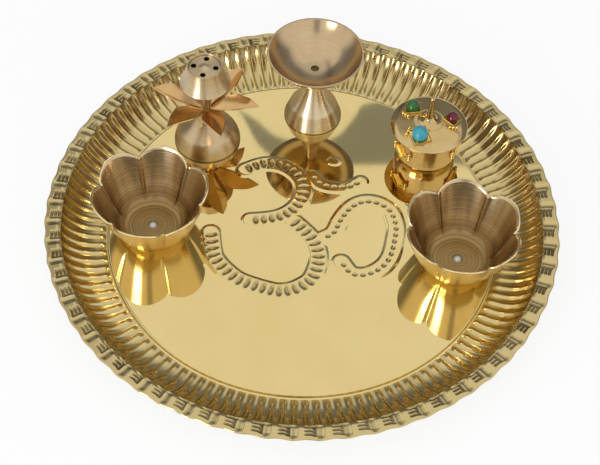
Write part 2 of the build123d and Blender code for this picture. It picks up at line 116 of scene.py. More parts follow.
# Punched marks and dents are darkened towards #453A2E: painted shade mixed with tarnish
shade_and_tarnish_share = add(tree, MATH, {0: recess, 1: dirt_share}, operation="MULTIPLY", use_clamp=True)
colour = add(tree, MIX, {0: shade_and_tarnish_share, 6: tone, 7: linear("#453A2E")}, data_type="RGBA")
gloss = add(tree, RANGE, {0: hairline, **NOISE_SPAN, 3: 0.015, 4: 0.04})
dulled = add(tree, MIX, {0: patina, 2: gloss, 3: 0.6})
rough = add(tree, MIX, {0: shade_and_tarnish_share, 2: dulled, 3: 0.5})
sway = add(tree, NOISE, {"Vector": spot, "Scale": 22, "Detail": 1})
swayed = add(tree, BUMP, {"Height": sway, "Strength": 0.025, "Distance": 0.6 * MM})
scratched = add(tree, BUMP, {"Height": hairline, "Normal": swayed, "Strength": 0.012, "Distance": 0.05 * MM})
fill(shader, {"Base Color": colour, "Roughness": rough, "Normal": scratched, "Metallic": 1})

# Cast brass bowls, turned inside with an emery cloth: brown and brushed in rings inside, polished outside
bowl_brass, tree, shader, spot, ring, inside = new_look("brushed_bowl_brass", "ring", "inside")
cloud = add(tree, NOISE, {"Vector": spot, "Scale": 90, "Detail": 3})
# Turning marks about 0.9 mm apart, with finer ones between them
marks = add(tree, NOISE, {"W": ring, "Scale": 1.1, "Detail": 4, "Roughness": 0.7}, noise_dimensions="1D")
worn = add(tree, RANGE, {0: marks, **NOISE_SPAN})
base = add(tree, MIX, {0: worn, 6: linear("#735A30"), 7: linear("#A68A5B")}, data_type="RGBA")
wall = add(tree, MIX, {0: worn, 6: linear("#B9A07B"), 7: linear("#DCC9A6")}, data_type="RGBA")
on_wall = add(tree, RANGE, {0: ring, 1: 16.0, 2: 26.0})
inner = add(tree, MIX, {0: on_wall, 6: base, 7: wall}, data_type="RGBA")
outer = add(tree, MIX, {0: cloud, 6: linear("#E2CA90"), 7: linear("#EEDCB0")}, data_type="RGBA")
colour = add(tree, MIX, {0: inside, 6: outer, 7: inner}, data_type="RGBA")
brushed = add(tree, RANGE, {0: marks, **NOISE_SPAN, 3: 0.18, 4: 0.26})
rough = add(tree, MIX, {0: inside, 2: 0.18, 3: brushed})
depth = add(tree, RANGE, {0: ring, 1: 16.0, 2: 25.0, 3: 0.3, 4: 0.05})
grooves = add(tree, BUMP, {"Height": marks, "Strength": depth, "Distance": 0.15 * MM})
tangent = add(tree, "ShaderNodeTangent", direction_type="UV_MAP", uv_map="turning")
fill(shader, {"Base Color": colour, "Roughness": rough, "Normal": grooves, "Tangent": tangent,
              "Metallic": 1, "Anisotropic": 0.6})


def turned_finish(name, dark, light, smooth, dull, streak):
    """Brass turned on a lathe and buffed: fine rings that draw reflections out along the profile."""
    look, tree, shader, spot, ring, grime = new_look(name, "ring", "grime")
    cloud = add(tree, NOISE, {"Vector": spot, "Scale": 120, "Detail": 3})
    # Tool marks about 0.7 mm apart
    marks = add(tree, NOISE, {"W": ring, "Scale": 1.4, "Detail": 3, "Roughness": 0.6}, noise_dimensions="1D")
    blend = add(tree, MATH, {0: cloud, 1: marks}, operation="MULTIPLY")
    share = add(tree, RANGE, {0: blend, 1: 0.12, 2: 0.4})
    clean = add(tree, MIX, {0: share, 6: linear(dark), 7: linear(light)}, data_type="RGBA")
    # The foot darkens where it meets the tray: grime and painted contact shade
    colour = add(tree, MIX, {0: grime, 6: clean, 7: linear("#3A2C1A")}, data_type="RGBA")
    rough = add(tree, RANGE, {0: cloud, **NOISE_SPAN, 3: smooth, 4: dull})
    rings = add(tree, BUMP, {"Height": marks, "Strength": 0.008, "Distance": 0.1 * MM})
    tangent = add(tree, "ShaderNodeTangent", direction_type="UV_MAP", uv_map="turning")
    fill(shader, {"Base Color": colour, "Roughness": rough, "Normal": rings, "Tangent": tangent,
                  "Metallic": 1, "Anisotropic": streak})
    return look


pale_brass = turned_finish("turned_pale_brass", "#DAC6A2", "#EADABA", 0.26, 0.36, 0.9)
incense_brass = turned_finish("turned_incense_brass", "#C6AE86", "#D6C29E", 0.26, 0.36, 0.9)
dish_brass = turned_finish("turned_dish_brass", "#C0A680", "#CCB48E", 0.16, 0.24, 0.8)
pot_brass = turned_finish("turned_pot_brass", "#D6BC96", "#E4D0AC", 0.14, 0.24, 0.8)
lid_brass = turned_finish("turned_lid_brass", "#C4A872", "#D0B682", 0.1, 0.17, 0.5)

# Sheet brass petals, cut, folded and buffed: pale gold with a fine grain from filing
lotus_brass, tree, shader, spot = new_look("satin_lotus_brass")
cloud = add(tree, NOISE, {"Vector": spot, "Scale": 150, "Detail": 4})
filed = add(tree, "ShaderNodeMapping", {"Vector": spot, "Scale": (900, 4000, 900), "Rotation": (0, 0, 0.9)})
grain = add(tree, NOISE, {"Vector": filed, "Scale": 1, "Detail": 2})
colour = add(tree, MIX, {0: cloud, 6: linear("#C29A62"), 7: linear("#DDBB86")}, data_type="RGBA")
rough = add(tree, RANGE, {0: grain, **NOISE_SPAN, 3: 0.1, 4: 0.2})
filing = add(tree, BUMP, {"Height": grain, "Strength": 0.05, "Distance": 0.05 * MM})
fill(shader, {"Base Color": colour, "Roughness": rough, "Normal": filing, "Metallic": 1})


def plain_metal(name, dark, light, smooth, dull, grain, depth):
    """A small metal part with a grain of a size in mm: mottled, and dented by a depth in mm."""
    look, tree, shader, spot = new_look(name)
    mottle = add(tree, NOISE, {"Vector": spot, "Scale": 1 / (grain * MM), "Detail": 3})
    colour = add(tree, MIX, {0: mottle, 6: linear(dark), 7: linear(light)}, data_type="RGBA")
    rough = add(tree, RANGE, {0: mottle, **NOISE_SPAN, 3: smooth, 4: dull})
    dents = add(tree, BUMP, {"Height": mottle, "Strength": 0.5, "Distance": depth * MM})
    fill(shader, {"Base Color": colour, "Roughness": rough, "Normal": dents, "Metallic": 1})
    return look


# Aluminium rivets, headed with a hammer: a grey button with flats that sparkle
aluminium = plain_metal("hammered_aluminium", "#A9A8A6", "#D2D2D0", 0.2, 0.4, 1.6, 0.12)
# Brass tie rod and lamp rivet, oily and unpolished: a dark brown end
tie_brass = plain_metal("tarnished_tie_brass", "#4A3522", "#7A5F3C", 0.3, 0.5, 1.2, 0.08)
# Stamped brass with a gold wash: bright yellow with a slightly grainy face
gilt = plain_metal("gilt_stamping", "#C99F45", "#F0D68A", 0.1, 0.25, 0.8, 0.06)


def glass(name, dark, light, clear):
    """A pressed glass cabochon: glossy, clear by a share, with colour that clouds in its depth."""
    look, tree, shader, spot = new_look(name)
    cloud = add(tree, NOISE, {"Vector": spot, "Scale": 260, "Detail": 3})
    colour = add(tree, MIX, {0: cloud, 6: linear(dark), 7: linear(light)}, data_type="RGBA")
    rough = add(tree, RANGE, {0: cloud, **NOISE_SPAN, 3: 0.03, 4: 0.08})
    fill(shader, {"Base Color": colour, "Roughness": rough, "IOR": 1.52, "Transmission Weight": clear})
    return look


# Opaque turquoise glass, and clearer dark green and red glass over the gilt plate
turquoise_glass = glass("turquoise_glass", "#1C8298", "#4FB6C4", 0.1)
green_glass = glass("green_glass", "#1B5A22", "#3C8A38", 0.35)
red_glass = glass("red_glass", "#4E0516", "#84122C", 0.3)


def placed(name, data):
    """A new object in the scene."""
    made = bpy.data.objects.new(name, data)
    scene.collection.objects.link(made)
    return made


def show(name, mesh, look, body, slot, *nodes, crease=40):
    """Shows a mesh as a piece that rides on a body and stands for CAD nodes: its faces look outwards and
    are smooth, but for edges sharper than a crease in degrees."""
    shell = bmesh.new()
    shell.from_mesh(mesh)
    if shell.calc_volume(signed=True) < 0:
        bmesh.ops.reverse_faces(shell, faces=shell.faces)
    shell.to_mesh(mesh)
    shell.free()
    mesh.shade_smooth()
    mesh.set_sharp_from_angle(angle=math.radians(crease))
    mesh.name = name
    mesh.materials.clear()
    mesh.materials.append(look)
    piece = placed(name, mesh)
    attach(piece, body)
    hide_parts(*nodes)


def baked(mesh, kind, sizes=(), **settings):
    """The plain mesh that a modifier makes of a mesh, with the named sizes of a node tree."""
    carrier = placed(mesh.name, mesh)
    modifier = carrier.modifiers.new(kind, kind)
    for name, setting in settings.items():
        setattr(modifier, name, setting)
    if sizes:
        for item in modifier.node_group.interface.items_tree:
            if item.in_out == "INPUT" and item.name in sizes:
                modifier[item.identifier] = sizes[item.name]
    made = bpy.data.meshes.new_from_object(carrier.evaluated_get(bpy.context.evaluated_depsgraph_get()))
    carrier.modifiers.remove(modifier)
    bpy.data.objects.remove(carrier)
    return made


def sized_tree(name, **inputs):
    """A node tree with a geometry input, named inputs and one geometry output."""
    tree = bpy.data.node_groups.new(name, "GeometryNodeTree")
    tree.interface.new_socket("Geometry", in_out="INPUT", socket_type="NodeSocketGeometry")
    for label, kind in inputs.items():
        tree.interface.new_socket(label.replace("_", " "), in_out="INPUT", socket_type="NodeSocket" + kind)
    tree.interface.new_socket("Geometry", in_out="OUTPUT", socket_type="NodeSocketGeometry")
    return tree, add(tree, "NodeGroupInput").outputs


def close_tree(tree, geometry, look):
    """Ends a tree in plain geometry with its material."""
    real = add(tree, "GeometryNodeRealizeInstances", {"Geometry": geometry})
    dressed = add(tree, "GeometryNodeSetMaterial", {"Geometry": real, "Material": look})
    add(tree, "NodeGroupOutput", {"Geometry": dressed})


def read_marks(tree, geometry, index, *labels, kind="FLOAT"):
    """What a geometry's points hold under some labels, read at an index."""
    held = []
    for label in labels:
        named = add(tree, "GeometryNodeInputNamedAttribute", {"Name": label}, data_type=kind)
        source = {"Geometry": geometry, "Value": named, "Index": index}
        held.append(add(tree, "GeometryNodeSampleIndex", source, data_type=kind))
    return held


def spun_grid(tree, section, parts, steps):
    """Starts a sheet that is spun round the tray's axis in a number of parts, each of some steps. Gives its
    grid, and for each point its row, how many parts it is round, its angle and its place in the section."""
    rows = add(tree, "GeometryNodeAttributeDomainSize", {"Geometry": section}).outputs["Point Count"]
    spokes = add(tree, MATH, {0: parts, 1: steps}, operation="MULTIPLY")
    last_spoke = add(tree, MATH, {0: spokes, 1: 1}, operation="ADD")
    grid = add(tree, "GeometryNodeMeshGrid", {"Vertices X": last_spoke, "Vertices Y": rows})
    index = add(tree, "GeometryNodeInputIndex")
    row = add(tree, MATH, {0: index, 1: rows}, operation="MODULO")
    ratio = add(tree, MATH, {0: index, 1: rows}, operation="DIVIDE")
    spoke = add(tree, MATH, {0: ratio}, operation="FLOOR")
    part = add(tree, MATH, {0: spoke, 1: steps}, operation="DIVIDE")
    part_turn = add(tree, MATH, {0: spoke, 1: spokes}, operation="DIVIDE")
    angle = add(tree, MATH, {0: part_turn, 1: FULL_TURN}, operation="MULTIPLY")
    source = {"Geometry": section, "Value": add(tree, "GeometryNodeInputPosition"), "Index": row}
    place = add(tree, "GeometryNodeSampleIndex", source, data_type="FLOAT_VECTOR")
    return grid, row, part, angle, place


def close_spun(tree, grid, place, shift, angle, **marks):
    """Ends a spun sheet: shifts its section, turns it round, stores its marks and joins its seam."""
    moved = add(tree, "ShaderNodeVectorMath", {0: place, 1: shift}, operation="ADD")
    spun = add(tree, "ShaderNodeVectorRotate", {"Vector": moved, "Angle": angle}, rotation_type="Z_AXIS")
    sheet = add(tree, "GeometryNodeSetPosition", {"Geometry": grid, "Position": spun})
    for label, value in marks.items():
        sheet = add(tree, STORE, {"Geometry": sheet, "Name": label, "Value": value}, data_type="FLOAT")
    joined = add(tree, "GeometryNodeMergeByDistance", {"Geometry": sheet, "Distance": 0.001 * MM})
    close_tree(tree, joined, sheet_brass)


def marked_mesh(name, points, edges=(), faces=(), **marks):
    """A mesh of points in mm, with numbers or vectors on them for a node tree or a material to read."""
    mesh = bpy.data.meshes.new(name)
    mesh.from_pydata([Vector(p) * MM for p in points], edges, faces)
    for label, values in marks.items():
        if isinstance(values[0], (int, float)):
            mesh.attributes.new(label, "FLOAT", "POINT").data.foreach_set("value", values)
        else:
            layer = mesh.attributes.new(label, "FLOAT_VECTOR", "POINT")
            layer.data.foreach_set("vector", [v for value in values for v in value])
    return mesh


def rounded(corners, steps=5):
    """A profile whose corners (radius, height, rounding) are rounded."""
    path = []
    for i, corner in enumerate(corners):
        here = Vector(corner[:2])
        if len(corner) == 2:
            path.append(here)
            continue
        before = Vector(corners[i - 1][:2]) - here
        after = Vector(corners[(i + 1) % len(corners)][:2]) - here
        reach = min(corner[2], 0.48 * before.length, 0.48 * after.length)
        start = here + before.normalized() * reach
        end = here + after.normalized() * reach
        for step in range(steps + 1):
            t = step / steps
            path.append(start * (1 - t) ** 2 + here * 2 * t * (1 - t) + end * t ** 2)
    return path


def arc(start, via, end, steps=18):
    """Points on the circle through three points of a profile, without the two ends."""
    a, b, c = Vector(start), Vector(via), Vector(end)
    sides = ((a, b - c), (b, c - a), (c, a - b))
    scale = 2 * sum(p.x * side.y for p, side in sides)
    centre = Vector((sum(p.length_squared * side.y for p, side in sides) / scale,
                     -sum(p.length_squared * side.x for p, side in sides) / scale))
    radius = (a - centre).length
    first, last = (math.atan2(*reversed(p - centre)) for p in (a, c))
    sweep = (last - first + math.pi) % FULL_TURN - math.pi
    turns = [first + sweep * step / steps for step in range(1, steps)]
    return [(centre.x + radius * math.cos(t), centre.y + radius * math.sin(t)) for t in turns]


def ring_mesh(points, rows, runs, closed, **marks):
    """A mesh between rows of points, each round the axis or one point on it, with the turning direction as
    a UV map and numbers on the points for the material."""
    steps = max(map(len, rows))
    pairs = list(zip(rows, runs))
    faces, spread = [], []
    for (a, from_run), (b, to_run) in zip(pairs, pairs[1:] + pairs[:1] if closed else pairs[1:]):
        for k in range(steps):
            n = (k + 1) % steps
            corners = {a[k % len(a)]: (from_run, k), a[n % len(a)]: (from_run, k + 1),
                       b[n % len(b)]: (to_run, k + 1), b[k % len(b)]: (to_run, k)}
            faces.append(list(corners))
            spread += corners.values()
    mesh = marked_mesh("turned", points, faces=faces, **marks)
    mesh.uv_layers.new(name="turning").data.foreach_set("uv", [c for place in spread for c in place])
    return mesh


def turned(profile, place=(0, 0), steps=160, seat=FLOOR_TOP):
    """A profile of (radius, height) turned round an upright axis: a ring, or a solid if it ends there."""
    profile = [Vector(p[:2]) for p in profile]
    points, rows, runs, along, grime = [], [], [], [], []
    run = 0
    for i, corner in enumerate(profile):
        run += (corner - profile[i - 1]).length if i else 0
        count = steps if corner.x > 1e-6 else 1
        rows.append(range(len(points), len(points) + count))
        runs.append(run)
        along += [run] * count
        # Grime and painted contact shade fade upwards from the tray
        grime += [max(0, 1 - abs(corner.y) / GRIME_AND_SHADE_HEIGHT) if seat else 0] * count
        for k in range(count):
            x, y = polar(corner.x, 360 * k / steps)
            points.append((place[0] + x, place[1] + y, seat + corner.y))
    return ring_mesh(points, rows, runs, profile[0].x > 0, ring=along, grime=grime)


def smooth_through(knots, x):
    """A smooth curve through knots (x, y), read at x."""
    for i in range(len(knots) - 1):
        if x <= knots[i + 1][0] or i == len(knots) - 2:
            (x0, y0), (x1, y1) = knots[i], knots[i + 1]
            before, after = knots[max(i - 1, 0)], knots[min(i + 2, len(knots) - 1)]
            m0 = (y1 - before[1]) / (x1 - before[0]) * (x1 - x0)
            m1 = (after[1] - y0) / (after[0] - x0) * (x1 - x0)
            t = (x - x0) / (x1 - x0)
            return ((2 * t ** 3 - 3 * t ** 2 + 1) * y0 + (t ** 3 - 2 * t ** 2 + t) * m0
                    + (3 * t ** 2 - 2 * t ** 3) * y1 + (t ** 3 - t ** 2) * m1)


def axes_frame(x_axis, y_axis, z_axis, origin):
    """The frame with three axes and an origin in metres."""
    return Matrix.Translation(origin) @ Matrix((x_axis, y_axis, z_axis)).transposed().to_4x4()


# Fluted pan: a section of the sheet is spun round while its wall swings in and out rib by rib
tree, given = sized_tree("fluted_pan", Flutes="Int", Steps_per_flute="Int", Flute_depth="Float")
section = given["Geometry"]
grid, row, part, angle, place = spun_grid(tree, section, given["Flutes"], given["Steps per flute"])
share, level, pinch, grime = read_marks(tree, section, row, "flute", "level", "pinch", "grime")
lean, = read_marks(tree, section, row, "lean", kind="FLOAT_VECTOR")
off_ridge = add(tree, MATH, {0: part, 1: 0.5}, operation="PINGPONG")
swung = add(tree, MATH, {0: off_ridge, 1: math.pi}, operation="MULTIPLY")
hump = add(tree, MATH, {0: swung}, operation="COSINE", use_clamp=True)
rib = add(tree, MATH, {0: hump, 1: pinch}, operation="POWER")
swing = add(tree, MATH, {0: rib, 1: level}, operation="SUBTRACT")
depth = add(tree, MATH, {0: share, 1: given["Flute depth"]}, operation="MULTIPLY")
push = add(tree, MATH, {0: swing, 1: depth}, operation="MULTIPLY")
pushed = add(tree, "ShaderNodeVectorMath", {0: lean, "Scale": push}, operation="SCALE")
# The valleys are darkened by each row's weight: painted shade
valley = add(tree, MATH, {0: 1, 1: rib}, operation="SUBTRACT")
dull = add(tree, RANGE, {0: valley, 3: 0.35, 4: 1.0})
shade = add(tree, MATH, {0: dull, 1: grime}, operation="MULTIPLY")
close_spun(tree, grid, place, pushed, angle, patina=shade)

# The section of the sheet: floor, channel, coved wall, and back along its underside. Each row says which way
# its flutes lean, how deep they are, how high, how sharp and how much painted shade their valleys get
COVE_FOOT = (108.2, 1.0)
COVE_TOP = (131.4, 16.1)
PLAIN_ROW = ((0, 0, 1), 0, 0, 2, 0)
cove_reach = COVE_TOP[0] - COVE_FOOT[0]
cove_rise = COVE_TOP[1] - COVE_FOOT[1]
cove_radius = (cove_reach ** 2 + cove_rise ** 2) / (2 * cove_rise)
cove_sweep = 2 * math.atan2(cove_rise, cove_reach)
floor_line = [(reach, FLOOR_TOP) for reach in (0, 60, 105.7)]
floor_line += [(107, FLOOR_TOP, 0.9), (107.1, 1.0, 0.6), (108.0, 1.0)]
under_line = [(108.1, 0), (106, 0, 0.5), (106, 1.7, 0.5), (0, 1.7)]
rows = [((x, 0, z), *PLAIN_ROW) for x, z in rounded(floor_line, 4)]
for under, steps in ((0, 24), (1, 7)):
    for step in range(steps + 1):
        reach = 1 - step / steps if under else step / steps
        turn = reach * cove_sweep
        closing = max(0, (reach - 0.82) / 0.18)
        rows.append((
            (COVE_FOOT[0] + (cove_radius + under) * math.sin(turn), 0,
             COVE_FOOT[1] + cove_radius - (cove_radius + under) * math.cos(turn)),
            (-math.sin(turn), 0, math.cos(turn)),
            min(1, reach / 0.1) * (1 - 0.5 * closing),
            0.55 * min(1, max(0, (reach - 0.12) / 0.3)),
            2.5 + 2.5 * min(1, reach / 0.3) - 2.0 * closing,
            0.3 + 0.25 * max(0, (reach - 0.6) / 0.4),
        ))
rows += [((x, 0, z), *PLAIN_ROW) for x, z in rounded(under_line, 3)]
section, lean, flute, level, pinch, grime = zip(*rows)
pan = marked_mesh("sheet_section", section, flute=flute, level=level, pinch=pinch, grime=grime, lean=lean)
pan = baked(pan, "NODES", {"Flutes": 128, "Steps per flute": 14, "Flute depth": 1.3 * MM}, node_group=tree)
show("tray_pan", pan, sheet_brass, "thali", "tray_brass", "tray", crease=50)

# Punched rim: the flange is spun the same way and pressed into pillows, each clawed at one end by a punch
TOOTH_PITCH = 2.1 * MM
tree, given = sized_tree("punched_rim", Blocks="Int", Steps_per_block="Int", Punch_depth="Float",
                         Block_length="Float", Rim_width="Float", Edge_wave="Float", Seed="Int")
section = given["Geometry"]
grid, row, part, angle, place = spun_grid(tree, section, given["Blocks"], given["Steps per block"])
across, = read_marks(tree, section, row, "across")
whole = add(tree, MATH, {0: part, 1: given["Blocks"]}, operation="MODULO")
block = add(tree, MATH, {0: whole}, operation="FLOOR")
phase = add(tree, MATH, {0: whole}, operation="FRACT")
# Each punch slips a little along and across the rim, and strikes more or less hard
jitter = add(tree, "FunctionNodeRandomValue", {0: (-0.06, -0.05, 0.65), 1: (0.06, 0.05, 1.0), "ID": block,
                                               "Seed": given["Seed"]}, data_type="FLOAT_VECTOR")
slip = add(tree, "ShaderNodeSeparateXYZ", {0: jitter}).outputs
off_block = add(tree, MATH, {0: phase, 1: -0.5}, operation="ADD")
off_line = add(tree, MATH, {0: across, 1: -0.38}, operation="ADD")
slipped_along = add(tree, MATH, {0: off_block, 1: slip["X"]}, operation="ADD")
along = add(tree, MATH, {0: slipped_along, 1: given["Block length"]}, operation="MULTIPLY")
slipped_over = add(tree, MATH, {0: off_line, 1: slip["Y"]}, operation="ADD")
over = add(tree, MATH, {0: slipped_over, 1: given["Rim width"]}, operation="MULTIPLY")
# Three claw strokes run into one body before the next pillow
off_tooth = add(tree, MATH, {0: over, 1: TOOTH_PITCH / 2}, operation="PINGPONG")
tooth = add(tree, RANGE, {0: off_tooth, 1: 0.85 * MM, 2: 0.4 * MM})
body = add(tree, RANGE, {0: along, 1: 2.4 * MM, 2: 3.4 * MM})
claw = add(tree, MATH, {0: tooth, 1: body}, operation="MAXIMUM")
comb = add(tree, MATH, {0: claw, 1: slip["Z"]}, operation="MULTIPLY")
off_over = add(tree, MATH, {0: over}, operation="ABSOLUTE")
for distance, start, end in ((off_over, 3.15, 2.85), (along, -1.6, 0.2), (along, 5.0, 4.0)):
    within = add(tree, RANGE, {0: distance, 1: start * MM, 2: end * MM})
    comb = add(tree, MATH, {0: comb, 1: within}, operation="MULTIPLY")
# The rounded fall between pillows, and a painted shadow line at its bottom
off_pillow = add(tree, MATH, {0: off_block}, operation="ABSOLUTE")
inner_fade = add(tree, RANGE, {0: across, 1: 0.0, 2: 0.12})
outer_fade = add(tree, RANGE, {0: across, 1: 1.0, 2: 0.7})
fades = add(tree, MATH, {0: inner_fade, 1: outer_fade}, operation="MULTIPLY")
fall = add(tree, RANGE, {0: off_pillow, 1: 0.28, 2: 0.5, 4: 0.65}, interpolation_type="SMOOTHSTEP")
line = add(tree, RANGE, {0: off_pillow, 1: 0.42, 2: 0.48, 4: 0.25})
dents = []
for groove in (fall, line):
    faded = add(tree, MATH, {0: groove, 1: fades}, operation="MULTIPLY")
    dents.append(add(tree, MATH, {0: comb, 1: faded}, operation="MAXIMUM"))
# The claw marks and the groove line are darkened: painted shade mixed with tarnish
struck, marks_and_groove_shade = dents
sink = add(tree, MATH, {0: struck, 1: given["Punch depth"]}, operation="MULTIPLY")
drop = add(tree, MATH, {0: sink, 1: -1}, operation="MULTIPLY")
wave = angle
for operation, other in (("MULTIPLY", given["Blocks"]), ("COSINE", 0), ("MULTIPLY", given["Edge wave"]),
                         ("MULTIPLY", across)):
    wave = add(tree, MATH, {0: wave, 1: other}, operation=operation)
shift = add(tree, "ShaderNodeCombineXYZ", {"X": wave, "Z": drop})
# The whole rim face is darkened a little, most along its inner edge by the wall: painted shade
rim_edge_shade = add(tree, RANGE, {0: across, 1: 0.0, 2: 0.2, 3: 0.5, 4: 0.22})
close_spun(tree, grid, place, shift, angle, recess=marks_and_groove_shade, patina=rim_edge_shade)

# The section of the flange: its face from the wall to the edge, then the edge and the underside
RIM_INNER = 131.1
RIM_OUTER = 139.65
RIM_FACE = RIM_OUTER - 0.4
FACE_STEPS = 26
section, across = [], []
for step in range(FACE_STEPS + 1):
    share = step / FACE_STEPS
    bend = min(1, share * 3)
    section.append((RIM_INNER + (RIM_FACE - RIM_INNER) * share, 0, 16.1 + 0.6 * bend * (2 - bend)))
    across.append(share)
for x, z in ((RIM_OUTER, 16.45), (RIM_OUTER, 16.05), (RIM_FACE, 15.8), (135, 15.6), (RIM_INNER + 0.8, 15.3),
             (RIM_INNER, 15.6), (RIM_INNER, 16.1)):
    section.append((x, 0, z))
    across.append((x - RIM_INNER) / (RIM_OUTER - RIM_INNER))
rim = baked(marked_mesh("rim_section", section, across=across), "NODES", {
    "Blocks": 64, "Steps per block": 40, "Punch depth": 0.8 * MM, "Block length": 13.3 * MM,
    "Rim width": 8.4 * MM, "Edge wave": 0.35 * MM, "Seed": 7}, node_group=tree)
show("tray_rim", rim, sheet_brass, "thali", "tray_brass", "tray", crease=60)

# Om sign: a low band raised on the floor along its strokes, with a row of dents punched across it.
# Each stroke has its dents' reach across the band, the band's half width, and its points
STROKES = (
    (3.0, 6.4, ((-34.0, 40.3), (-23.5, 45.4), (-14.2, 45.0), (-6.4, 40.4), (-1.5, 33.8), (-0.5, 26.0),
                (-2.5, 18.1), (-6.7, 12.1), (-12.5, 8.0), (-19.9, 5.6), (-28.8, 4.2))),
    (3.6, 6.4, ((-5.7, 5.5), (-0.3, 0.2), (5.1, -6.0), (8.3, -12.3), (9.6, -19.5), (8.7, -26.8),
                (6.0, -34.1), (1.1, -38.7), (-4.5, -41.7), (-11.6, -43.0), (-18.9, -41.6), (-26.2, -39.4),
                (-33.6, -36.3), (-39.7, -31.3), (-44.4, -26.2), (-47.8, -20.1), (-50.4, -5.5))),
    (1.2, 6.2, ((12.5, -5.6), (17.6, -1.6), (21.1, 7.1), (25.5, 14.9), (30.7, 19.6), (36.7, 21.4),
                (43.5, 19.8), (48.8, 15.3), (51.0, 9.7), (52.1, 3.2), (51.3, -4.3), (49.4, -14.5),
                (46.5, -21.1), (42.1, -25.8), (37.0, -28.8), (32.0, -29.9), (26.9, -28.4), (22.0, -21.5))),
    (1.2, 5.4, ((4.4, 38.1), (9.2, 32.4), (16.9, 30.4), (25.2, 31.4), (32.0, 35.8))),
    (0.1, 4.2, ((15.4, 49.8), (17.4, 49.8))),
)
# The sign's foot is bedded in the floor, and its patch reaches a little past the band
SIGN_BED = 0.06
SIGN_MARGIN = 0.6
tree, given = sized_tree("raised_sign", Slope="Float", Height="Float", Dent_pitch="Float", Dent_half="Float",
                         Dent_depth="Float", Cells="Int", Patch="Float")
lines = add(tree, "GeometryNodeMeshToCurve", {"Mesh": given["Geometry"]})
bent = add(tree, "GeometryNodeCurveSplineType", {"Curve": lines}, spline_type="CATMULL_ROM")
fine = add(tree, "GeometryNodeResampleCurve", {"Curve": bent, "Length": 0.25 * MM}, mode="LENGTH")
way = add(tree, "GeometryNodeSplineParameter").outputs["Length"]
marked = add(tree, STORE, {"Geometry": fine, "Name": "run", "Value": way}, data_type="FLOAT")
thread = add(tree, "GeometryNodeCurveToMesh", {"Curve": marked})
grid = add(tree, "GeometryNodeMeshGrid", {"Size X": given["Patch"], "Size Y": given["Patch"],
                                          "Vertices X": given["Cells"], "Vertices Y": given["Cells"]})
off = add(tree, "GeometryNodeProximity", {0: thread}, target_element="EDGES").outputs["Distance"]
nearest = add(tree, "GeometryNodeSampleNearest", {"Geometry": thread}, domain="POINT")
run, half, long = read_marks(tree, thread, nearest, "run", "half", "long")
edge_in = add(tree, MATH, {0: half, 1: given["Slope"]}, operation="SUBTRACT")
rise = add(tree, RANGE, {0: off, 1: edge_in, 2: half, 3: 1, 4: 0}, interpolation_type="SMOOTHSTEP")
half_pitch = add(tree, MATH, {0: given["Dent pitch"], 1: 0.5}, operation="MULTIPLY")
half_on = add(tree, MATH, {0: run, 1: half_pitch}, operation="ADD")
off_dent = add(tree, MATH, {0: half_on, 1: half_pitch}, operation="PINGPONG")
end_share = add(tree, MATH, {0: off, 1: long}, operation="DIVIDE")
side_share = add(tree, MATH, {0: off_dent, 1: given["Dent half"]}, operation="DIVIDE")
from_middle = add(tree, "ShaderNodeCombineXYZ", {"X": end_share, "Y": side_share})
oval = add(tree, "ShaderNodeVectorMath", {0: from_middle}, operation="LENGTH").outputs["Value"]
dent = add(tree, RANGE, {0: oval, 1: 1.25, 2: 0.35}, interpolation_type="SMOOTHSTEP")
# Dents are darkened, most at their ends: painted shade mixed with grime
dent_end = add(tree, RANGE, {0: end_share, 1: 0.2, 2: 0.9, 3: 0.45, 4: 0.95})
grime = add(tree, MATH, {0: dent, 1: dent_end}, operation="MULTIPLY")
up = add(tree, MATH, {0: rise, 1: given["Height"]}, operation="MULTIPLY")
down = add(tree, MATH, {0: dent, 1: given["Dent depth"]}, operation="MULTIPLY")
level = add(tree, MATH, {0: up, 1: down}, operation="SUBTRACT")
lift = add(tree, MATH, {0: level, 1: (FLOOR_TOP - SIGN_BED) * MM}, operation="ADD")
# The marks are made on the flat grid, before it is raised, because they read its distance from the strokes
grimed = add(tree, STORE, {"Geometry": grid, "Name": "recess", "Value": grime}, data_type="FLOAT")
beyond = add(tree, MATH, {0: half, 1: SIGN_MARGIN * MM}, operation="ADD")
outside = add(tree, "FunctionNodeCompare", {0: off, 1: beyond}, data_type="FLOAT", operation="GREATER_THAN")
kept = add(tree, "GeometryNodeDeleteGeometry", {"Geometry": grimed, "Selection": outside}, domain="POINT")
raised = add(tree, "GeometryNodeSetPosition", {
    "Geometry": kept, "Offset": add(tree, "ShaderNodeCombineXYZ", {"Z": lift})})
close_tree(tree, raised, sheet_brass)

points, edges, long, half = [], [], [], []
for dent_reach, band, stroke in STROKES:
    edges += [(len(points) + i, len(points) + i + 1) for i in range(len(stroke) - 1)]
    points += [(*p, 0) for p in stroke]
    long += [dent_reach * MM] * len(stroke)
    half += [band * MM] * len(stroke)
sign = baked(marked_mesh("sign_strokes", points, edges, long=long, half=half), "NODES", {
    "Slope": 2.4 * MM, "Height": 0.52 * MM, "Dent pitch": 4.5 * MM, "Dent half": 1.5 * MM,
    "Dent depth": 0.42 * MM, "Cells": 271, "Patch": 122 * MM}, node_group=tree)
sign = baked(sign, "SOLIDIFY", thickness=0.5 * MM, offset=-1)
show("om_sign", sign, sheet_brass, "thali", "tray_brass", "tray", crease=60)

